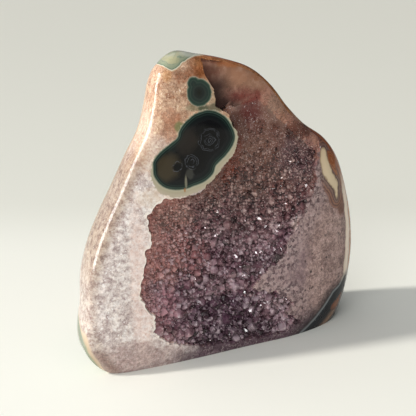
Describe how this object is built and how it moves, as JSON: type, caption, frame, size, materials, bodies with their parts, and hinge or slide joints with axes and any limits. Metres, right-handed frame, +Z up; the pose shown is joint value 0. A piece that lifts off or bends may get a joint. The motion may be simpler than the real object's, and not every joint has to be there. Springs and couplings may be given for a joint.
{
  "type": "agate freeform",
  "caption": "Polished freestanding agate nodule with green banded eyes in its face and a rough hollow of purple quartz crystals, standing on a flat cut base.",
  "frame": {"origin": "on the ground, in the middle of the stone's length and depth", "axes": "+Z up, +X along the stone's length to the right as the hollow is seen from in front, and the face with the hollow and the eyes looks along -Y"},
  "size_m": [0.147, 0.0512, 0.1397],
  "materials": {
    "polished_agate": "polished chalcedony and quartz, whitish lilac to mauve, with dark green eyes in cream rims, cream, orange-brown and grey-green bands",
    "amethyst_crystals": "rough glassy quartz points, reddish brown at the top to deep purple at the foot, partly see-through"
  },
  "bodies": {
    "root": {"agate_stone": "polished_agate", "crystal_crust": "amethyst_crystals"}
  },
  "joints": []
}
